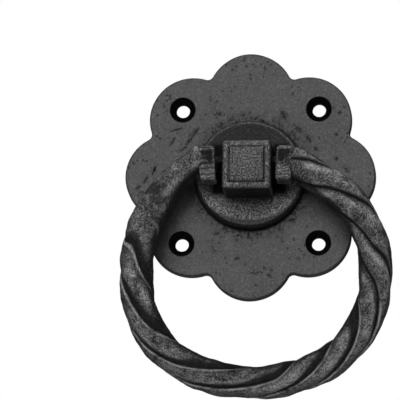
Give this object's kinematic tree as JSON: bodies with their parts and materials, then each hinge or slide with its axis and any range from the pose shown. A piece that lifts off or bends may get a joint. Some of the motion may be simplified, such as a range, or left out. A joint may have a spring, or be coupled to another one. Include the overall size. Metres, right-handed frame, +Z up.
{
  "type": "ring pull handle",
  "caption": "Twisted-bar ring handle hung from a square turning knuckle on a scalloped backplate, for pulling or turning a door, gate or cupboard latch.",
  "frame": {"origin": "centre of the backplate's back face, in the middle of the screw holes, where the plate meets the door", "axes": "+Z up, +Y out of the back face into the door, so the ring hangs in front on the -Y side, +X to the right seen from the front"},
  "size_m": [0.1095, 0.03, 0.1451],
  "materials": {
    "plate_iron": "matt black wax over cast iron, lightly pitted",
    "knuckle_iron": "matt black wax over cast iron, worn at the edges",
    "ring_iron": "hammered black iron, burnished along the ridges of the twist",
    "washer_steel": "blackened steel",
    "clip_steel": "phosphated spring steel"
  },
  "bodies": {
    "rose": {"backplate": "plate_iron", "back_washer": "washer_steel"},
    "turning_knuckle": {"knuckle": "knuckle_iron", "retaining_ring": "clip_steel"},
    "swinging_ring": {"ring": "ring_iron"}
  },
  "joints": [
    {"name": "knuckle_turn", "type": "hinge", "parent": "rose", "child": "turning_knuckle", "pos_m": [0, 0, 0], "axis": [0, -1, 0], "continuous": true},
    {"name": "ring_swing", "type": "hinge", "parent": "turning_knuckle", "child": "swinging_ring", "pos_m": [0, -0.0195, 0.0016], "axis": [-1, 0, 0], "range_deg": [-7, 187]}
  ]
}
